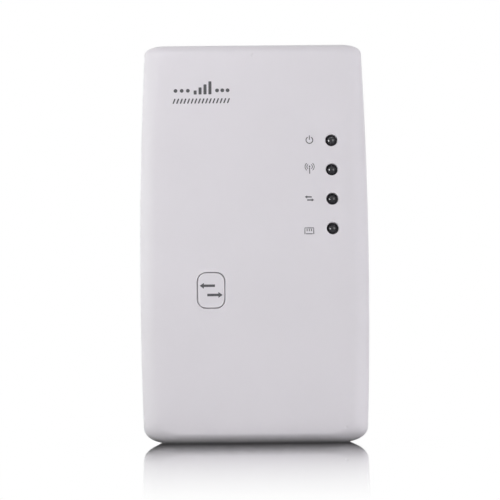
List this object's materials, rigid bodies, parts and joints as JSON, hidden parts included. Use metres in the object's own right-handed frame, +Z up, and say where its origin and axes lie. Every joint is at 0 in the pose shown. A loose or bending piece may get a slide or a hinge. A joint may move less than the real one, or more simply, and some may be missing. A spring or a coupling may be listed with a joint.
{
  "type": "wifi range extender",
  "caption": "Upright plug-in network range extender: smooth bowed front with a column of indicator lights and a push button, jacks in its foot, flat-blade mains plug behind.",
  "frame": {"origin": "midway between the two blades, in the plug's face that meets the socket", "axes": "+Z up, -Y out of the front face towards the user, +Y into the wall, +X to the right seen from the front"},
  "size_m": [0.063, 0.0445, 0.11],
  "materials": {
    "shell": "satin gloss, pale lilac white",
    "button_cap": "satin gloss, pale lilac white",
    "plug_plastic": "fine matt",
    "led_epoxy": "smoky dark, polished",
    "black_plastic": "moulded black",
    "steel": "zinc plated",
    "plated_brass": "nickel-flashed brass",
    "gold_contact": "gold flashed",
    "board_green": "solder-resist laminate",
    "supply_laminate": "pale green laminate",
    "chip_epoxy": "moulded epoxy",
    "ferrite": "sintered dark grey",
    "tape": "amber polyester tape",
    "can_sleeve": "shrink sleeve",
    "disc_epoxy": "dipped epoxy",
    "resistor_body": "cement coating",
    "wire_white": "pvc",
    "wire_black": "pvc",
    "label": "blank silvered film",
    "sheet": "insulating film"
  },
  "bodies": {
    "housing": {"antenna_cable_left": "wire_black", "antenna_cable_right": "wire_black", "antenna_left": "board_green", "antenna_right": "board_green", "blade_left": "plated_brass", "blade_right": "plated_brass", "board_link_header": "black_plastic", "board_screw_left": "steel", "board_screw_right": "steel", "bridge_rectifier": "chip_epoxy", "clock_crystal": "steel", "controller_chip": "chip_epoxy", "flash_chip": "chip_epoxy", "front_cover": "shell", "fuse_resistor": "resistor_body", "housing_screw_foot_left": "steel", "housing_screw_foot_right": "steel", "housing_screw_top_left": "steel", "housing_screw_top_right": "steel", "hv_capacitor_a": "can_sleeve", "hv_capacitor_b": "can_sleeve", "input_choke": "ferrite", "insulation_sheet": "sheet", "lan_jack_contacts": "gold_contact", "lan_jack_housing": "black_plastic", "lan_transformer": "chip_epoxy", "led_lan": "led_epoxy", "led_link": "led_epoxy", "led_power": "led_epoxy", "led_spacer": "black_plastic", "led_wireless": "led_epoxy", "main_board": "board_green", "mains_wire_left": "wire_white", "mains_wire_right": "wire_black", "memory_chip": "chip_epoxy", "mode_switch_base": "steel", "optocoupler": "chip_epoxy", "output_capacitor": "can_sleeve", "pairing_switch_base": "steel", "plug_block": "plug_plastic", "power_board": "supply_laminate", "power_board_screw_left": "steel", "power_board_screw_right": "steel", "rating_label": "label", "rear_cover": "shell", "reset_switch_base": "steel", "router_chip": "chip_epoxy", "transformer_core": "ferrite", "transformer_winding": "tape", "wan_jack_contacts": "gold_contact", "wan_jack_housing": "black_plastic", "y_capacitor": "disc_epoxy"},
    "pairing_button": {"pairing_button": "button_cap"},
    "pairing_plunger": {"pairing_switch_plunger": "black_plastic"},
    "reset_plunger": {"reset_switch_plunger": "black_plastic"},
    "mode_knob": {"mode_switch_knob": "black_plastic"}
  },
  "joints": [
    {"name": "pairing_button_travel", "type": "slide", "parent": "housing", "child": "pairing_button", "axis": [0, 1, 0], "range_m": [0, 0.0004], "stiffness_N_per_m": 60},
    {"name": "pairing_plunger_travel", "type": "slide", "parent": "housing", "child": "pairing_plunger", "axis": [0, 1, 0], "range_m": [0, 0.0004]},
    {"name": "reset_plunger_travel", "type": "slide", "parent": "housing", "child": "reset_plunger", "axis": [0, 0, 1], "range_m": [0, 0.0004]},
    {"name": "mode_knob_travel", "type": "slide", "parent": "housing", "child": "mode_knob", "axis": [0, 0, 1], "range_m": [-0.002, 0.002]}
  ],
  "couplings": [
    {"joint": "pairing_plunger_travel", "follows": "pairing_button_travel", "ratio": 1}
  ]
}
